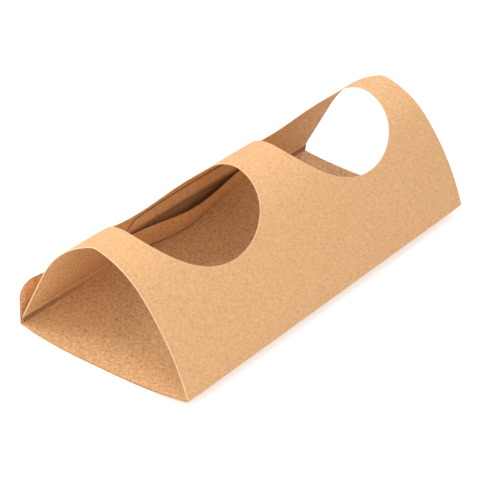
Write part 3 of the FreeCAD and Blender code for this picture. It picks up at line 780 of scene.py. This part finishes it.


# %% [markdown]
# The inner face shows the score line of the back wall. Towards the ends it is a pale bead in flecks, partly
# pale cracked fibres and partly a painted highlight where the bead catches the light. In the middle a line of
# painted shadow marks the crease. The toe below it gets painted shade near the ends, and the foot of the lock
# tab gets painted shade by the slit, where little light gets in. Each mark is a band round a run on the flat
# sheet, with edges that fade. Darker lamps or a second mesh could give this shade too; here it is painted
# into the colour.

# %% Marks of the score line
BEAD_START = 36.0
BEAD_END = 62.0
BEAD_WIDTH = 0.9
FLECK_SCALE = 0.8
FLECK_DETAIL = 3
CREASE_SHIFT = 0.15
CREASE_WIDTH = 0.8
CREASE_SHARE = 0.8
TOE_FADE = 1.5
TOE_BEYOND = 0.2
TOE_START = 50.0
TOE_END = 106.0
TOE_SHARE = 0.6
TOE_LEAST = 0.06
SLIT_FADE = 7.0
SLIT_SHARE = 0.75


def score_bead(tree, place, run_out, outwards):
    """Pale bead of the score line, broken into flecks: partly cracked fibres, partly painted highlight."""
    flecks = add_node(tree, "ShaderNodeTexNoise", noise_dimensions="2D")
    tree.links.new(place, flecks.inputs["Vector"])
    flecks.inputs["Scale"].default_value = FLECK_SCALE
    flecks.inputs["Detail"].default_value = FLECK_DETAIL
    broken = stepped(tree, flecks.outputs["Fac"], low=0.34, high=0.54)
    bead = arithmetic(tree, "MULTIPLY", fold_mask(tree, run_out, [score_run], BEAD_WIDTH), broken)
    return arithmetic(tree, "MULTIPLY", bead, outwards)


def toe_painted_shade(tree, run_out, aside):
    """Painted shade on the toe, stronger towards the ends."""
    half = float(score_run - foot_run) / 2
    off = distance(tree, run_out, float(foot_run + score_run) / 2)
    toe = opposite(tree, stepped(tree, off, half - TOE_FADE, half + TOE_BEYOND))
    outwards = stepped(tree, aside, TOE_START, TOE_END)
    strength = arithmetic(tree, "MULTIPLY_ADD", outwards, TOE_SHARE, TOE_LEAST)
    return arithmetic(tree, "MULTIPLY", toe, strength)


def score_marks(tree, place, along_out, run_out):
    """Masks of the pale bead, and of the painted shade together."""
    aside = arithmetic(tree, "ABSOLUTE", along_out)
    outwards = stepped(tree, aside, BEAD_START, BEAD_END)
    crease = fold_mask(tree, run_out, [score_run + CREASE_SHIFT], CREASE_WIDTH)
    crease = arithmetic(tree, "MULTIPLY", crease, opposite(tree, outwards))
    by_slit = opposite(tree, stepped(tree, distance(tree, run_out, tab_run), 0.0, SLIT_FADE))
    # Painted shade: the crease's shadow line, the toe's shade near the ends and the shade by the slit.
    painted_shade = arithmetic(tree, "MAXIMUM", toe_painted_shade(tree, run_out, aside),
                       arithmetic(tree, "MULTIPLY", crease, CREASE_SHARE))
    painted_shade = arithmetic(tree, "MAXIMUM", painted_shade, arithmetic(tree, "MULTIPLY", by_slit, SLIT_SHARE))
    return score_bead(tree, place, run_out, outwards), painted_shade


# %% [markdown]
# One finish serves all three kinds of face, with its own values on each. The outer face is the smoothest,
# the inner one keeps more loose fibres, and the cut edge is plain pulp, with painted shade along the lock tab
# and rims that are pale partly from wear and partly as painted light. Three materials on one mesh keep the
# borders sharp, where one material with masks would smear them over the rims.

# %% Kraft finish
# Pale of scuffed rims and folds; on the cut edge it is also painted light on lit rims.
PALE_SCUFF_AND_LIGHT = colour(250, 218, 176)
RIM_WIDTH = 0.5
RELIEF = 0.06 * MM


def rim_scuffs_and_light(tree, shade, spots, share):
    """Shade with its rims paler: scuffs, and on the cut edge also painted light on lit rims."""
    rims = arithmetic(tree, "MULTIPLY", rim_mask(tree, spots[1], spots[2], RIM_WIDTH), share)
    return blended(tree, rims, shade, PALE_SCUFF_AND_LIGHT)


def kraft(name, shades, marks, streaks, mottle, cloud, bump, roughness, sheen):
    """Board finish: pulp colours, a function that marks them, strength of the fibres, bump and gloss."""
    material = bpy.data.materials.new(name)
    material.use_nodes = True
    tree = material.node_tree
    shader = tree.nodes["Principled BSDF"]
    spots = flat_parts(tree)
    fibre = add_node(tree, "ShaderNodeGroup", node_tree=pulp)
    tree.links.new(spots[0], fibre.inputs["Place"])
    for socket, shade in zip(("Pulp", "Pale Fibre", "Dark Fibre"), shades):
        fibre.inputs[socket].default_value = shade
    for socket, share in (("Streaks", streaks), ("Mottle", mottle), ("Cloud", cloud)):
        fibre.inputs[socket].default_value = share
    tree.links.new(marks(tree, fibre.outputs["Color"], spots), shader.inputs["Base Color"])
    relief = add_node(tree, "ShaderNodeBump")
    relief.inputs["Strength"].default_value = bump
    relief.inputs["Distance"].default_value = RELIEF
    tree.links.new(fibre.outputs["Height"], relief.inputs["Height"])
    tree.links.new(relief.outputs["Normal"], shader.inputs["Normal"])
    shader.inputs["Roughness"].default_value = roughness
    shader.inputs["Specular IOR Level"].default_value = sheen
    return material


# %% Outer face
FOLD_WIDTH = 0.5
FOLD_SHARE = 0.25
OUTER_RIMS = 0.5


def outer_marks(tree, shade, spots):
    """Folds and rims scuffed paler."""
    creases = fold_mask(tree, spots[2], [front_run, back_run, knee_run, step_run], FOLD_WIDTH)
    shade = blended(tree, arithmetic(tree, "MULTIPLY", creases, FOLD_SHARE), shade, PALE_SCUFF_AND_LIGHT)
    return rim_scuffs_and_light(tree, shade, spots, OUTER_RIMS)


outer_shades = (colour(231, 173, 117), colour(251, 202, 149), colour(209, 148, 94))
outer_face = kraft("kraft_outer_face", outer_shades, outer_marks, streaks=0.62, mottle=0.13, cloud=0.10,
                   bump=0.8, roughness=0.58, sheen=0.40)
print("made", outer_face.name)

# %% Inner face
# Pale of the score bead: partly cracked fibres, partly a painted highlight where the bead catches the light.
SCORE_FIBRE_AND_HIGHLIGHT = colour(255, 226, 184)
# Dark colour painted as shade in the crease, on the toe and by the slit.
SCORE_PAINTED_SHADE = colour(110, 68, 38)


def inner_marks(tree, shade, spots):
    """Painted shade and the pale bead of the score line."""
    bead, painted_shade = score_marks(tree, *spots)
    return blended(tree, bead, blended(tree, painted_shade, shade, SCORE_PAINTED_SHADE), SCORE_FIBRE_AND_HIGHLIGHT)


inner_shades = (colour(208, 154, 101), colour(250, 208, 154), colour(182, 126, 78))
inner_face = kraft("kraft_inner_face", inner_shades, inner_marks, streaks=0.90, mottle=0.22, cloud=0.20,
                   bump=1.0, roughness=0.72, sheen=0.35)
print("made", inner_face.name)

# %% Cut edge
# Dark colour painted as shade on the cut edge along the lock tab.
TAB_EDGE_SHADE = colour(120, 78, 46)
TAB_EDGE_SHARE = 0.8
TAB_EDGE_START = HALF_TAB + 0.5
TAB_EDGE_END = HALF_TAB + 1.5
# Share of the pale rims on the cut edge: partly wear, partly painted light where the rims are lit.
EDGE_RIMS = 0.85


def edge_marks(tree, shade, spots):
    """Painted shade along the lock tab's edge, and rims paler from wear and from painted light."""
    outside = stepped(tree, arithmetic(tree, "ABSOLUTE", spots[1]), TAB_EDGE_START, TAB_EDGE_END)
    inside = arithmetic(tree, "MULTIPLY_ADD", outside, -TAB_EDGE_SHARE, TAB_EDGE_SHARE)
    return rim_scuffs_and_light(tree, blended(tree, inside, shade, TAB_EDGE_SHADE), spots, EDGE_RIMS)


edge_shades = (colour(196, 146, 100), colour(220, 172, 124), colour(166, 116, 72))
cut_edge = kraft("kraft_cut_edge", edge_shades, edge_marks, streaks=0.45, mottle=0.2, cloud=0.1,
                 bump=0.6, roughness=0.8, sheen=0.3)
print("made", cut_edge.name)

# %% Finish the board
board.data.materials.clear()
for material in (outer_face, inner_face, cut_edge):
    board.data.materials.append(material)
board.data.polygons.foreach_set("material_index", face_kind)
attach(board, "root")
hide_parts("carrier_sheet")
print("materials:", [material.name for material in board.data.materials])

# %% [markdown]
# The floor is a wide pale sheet. Seen by the camera it glows a little, which makes it white,
# while it keeps the carrier's soft shadow. The glow lights nothing else.

# %% Floor
FLOOR_WIDTH = 6.0
FLOOR_PAPER = (0.92, 0.92, 0.92, 1)
FLOOR_GLOW = 0.45
bpy.ops.object.select_all(action="DESELECT")
bpy.ops.mesh.primitive_plane_add(size=FLOOR_WIDTH)
floor = bpy.context.object
floor.name = "pale_floor"
paper = bpy.data.materials.new("pale_floor")
paper.use_nodes = True
floor_tree = paper.node_tree
floor_shader = floor_tree.nodes["Principled BSDF"]
floor_shader.inputs["Base Color"].default_value = FLOOR_PAPER
floor_shader.inputs["Roughness"].default_value = 0.9
floor_shader.inputs["Specular IOR Level"].default_value = 0.1
floor_shader.inputs["Emission Color"].default_value = (1, 1, 1, 1)
rays = add_node(floor_tree, "ShaderNodeLightPath")
glow = arithmetic(floor_tree, "MULTIPLY", rays.outputs["Is Camera Ray"], FLOOR_GLOW)
floor_tree.links.new(glow, floor_shader.inputs["Emission Strength"])
floor.data.materials.append(paper)
print("floor is %.0f m wide" % FLOOR_WIDTH)

# %% [markdown]
# The picture was lit softly from all round, like a product on a studio table. An even room alone would leave
# the carrier flat, so four large soft lamps are added. The first, above and behind the near end, gives the
# top folds their shine and leaves the inside of the back wall in shade. The second keeps the front panel
# bright, and the last two shine in through the open ends, where the base is lit in the picture. The room
# looks white to the camera, but lights the carrier at about half that strength.

# %% Lamps
def soft_lamp(name, place, target, size, watts):
    """Square area lamp that looks at a target."""
    bpy.ops.object.light_add(type="AREA", location=place)
    lamp = bpy.context.object
    lamp.name = name
    lamp.data.shape = "SQUARE"
    lamp.data.size = size
    lamp.data.energy = watts
    lamp.rotation_euler = (Vector(target) - Vector(place)).to_track_quat("-Z", "Y").to_euler()
    print(name, "gives %.1f watts" % watts)


soft_lamp("top_lamp", place=(-0.3, 0.34, 0.78), target=(0, 0, 0.03), size=0.6, watts=4.3)
soft_lamp("front_lamp", place=(-0.55, -0.8, 0.6), target=(0, 0, 0.03), size=0.7, watts=3.4)
soft_lamp("near_end_lamp", place=(-0.9, 0.1, 0.38), target=(-0.08, -0.02, 0.01), size=0.5, watts=2.0)
soft_lamp("far_end_lamp", place=(0.8, 0.15, 0.35), target=(0.08, 0, 0.02), size=0.5, watts=2.3)

# %% Room
ROOM_LIGHT = 0.51
room = bpy.data.worlds.new("bright_room")
bpy.context.scene.world = room
room.use_nodes = True
room_tree = room.node_tree
room_light = room_tree.nodes["Background"]
room_light.inputs["Color"].default_value = (1, 1, 1, 1)
room_rays = add_node(room_tree, "ShaderNodeLightPath")
seen = room_rays.outputs["Is Camera Ray"]
strength = arithmetic(room_tree, "MULTIPLY_ADD", seen, 1 - ROOM_LIGHT, ROOM_LIGHT)
room_tree.links.new(strength, room_light.inputs["Strength"])
print("the room lights the carrier at %.2f" % ROOM_LIGHT)
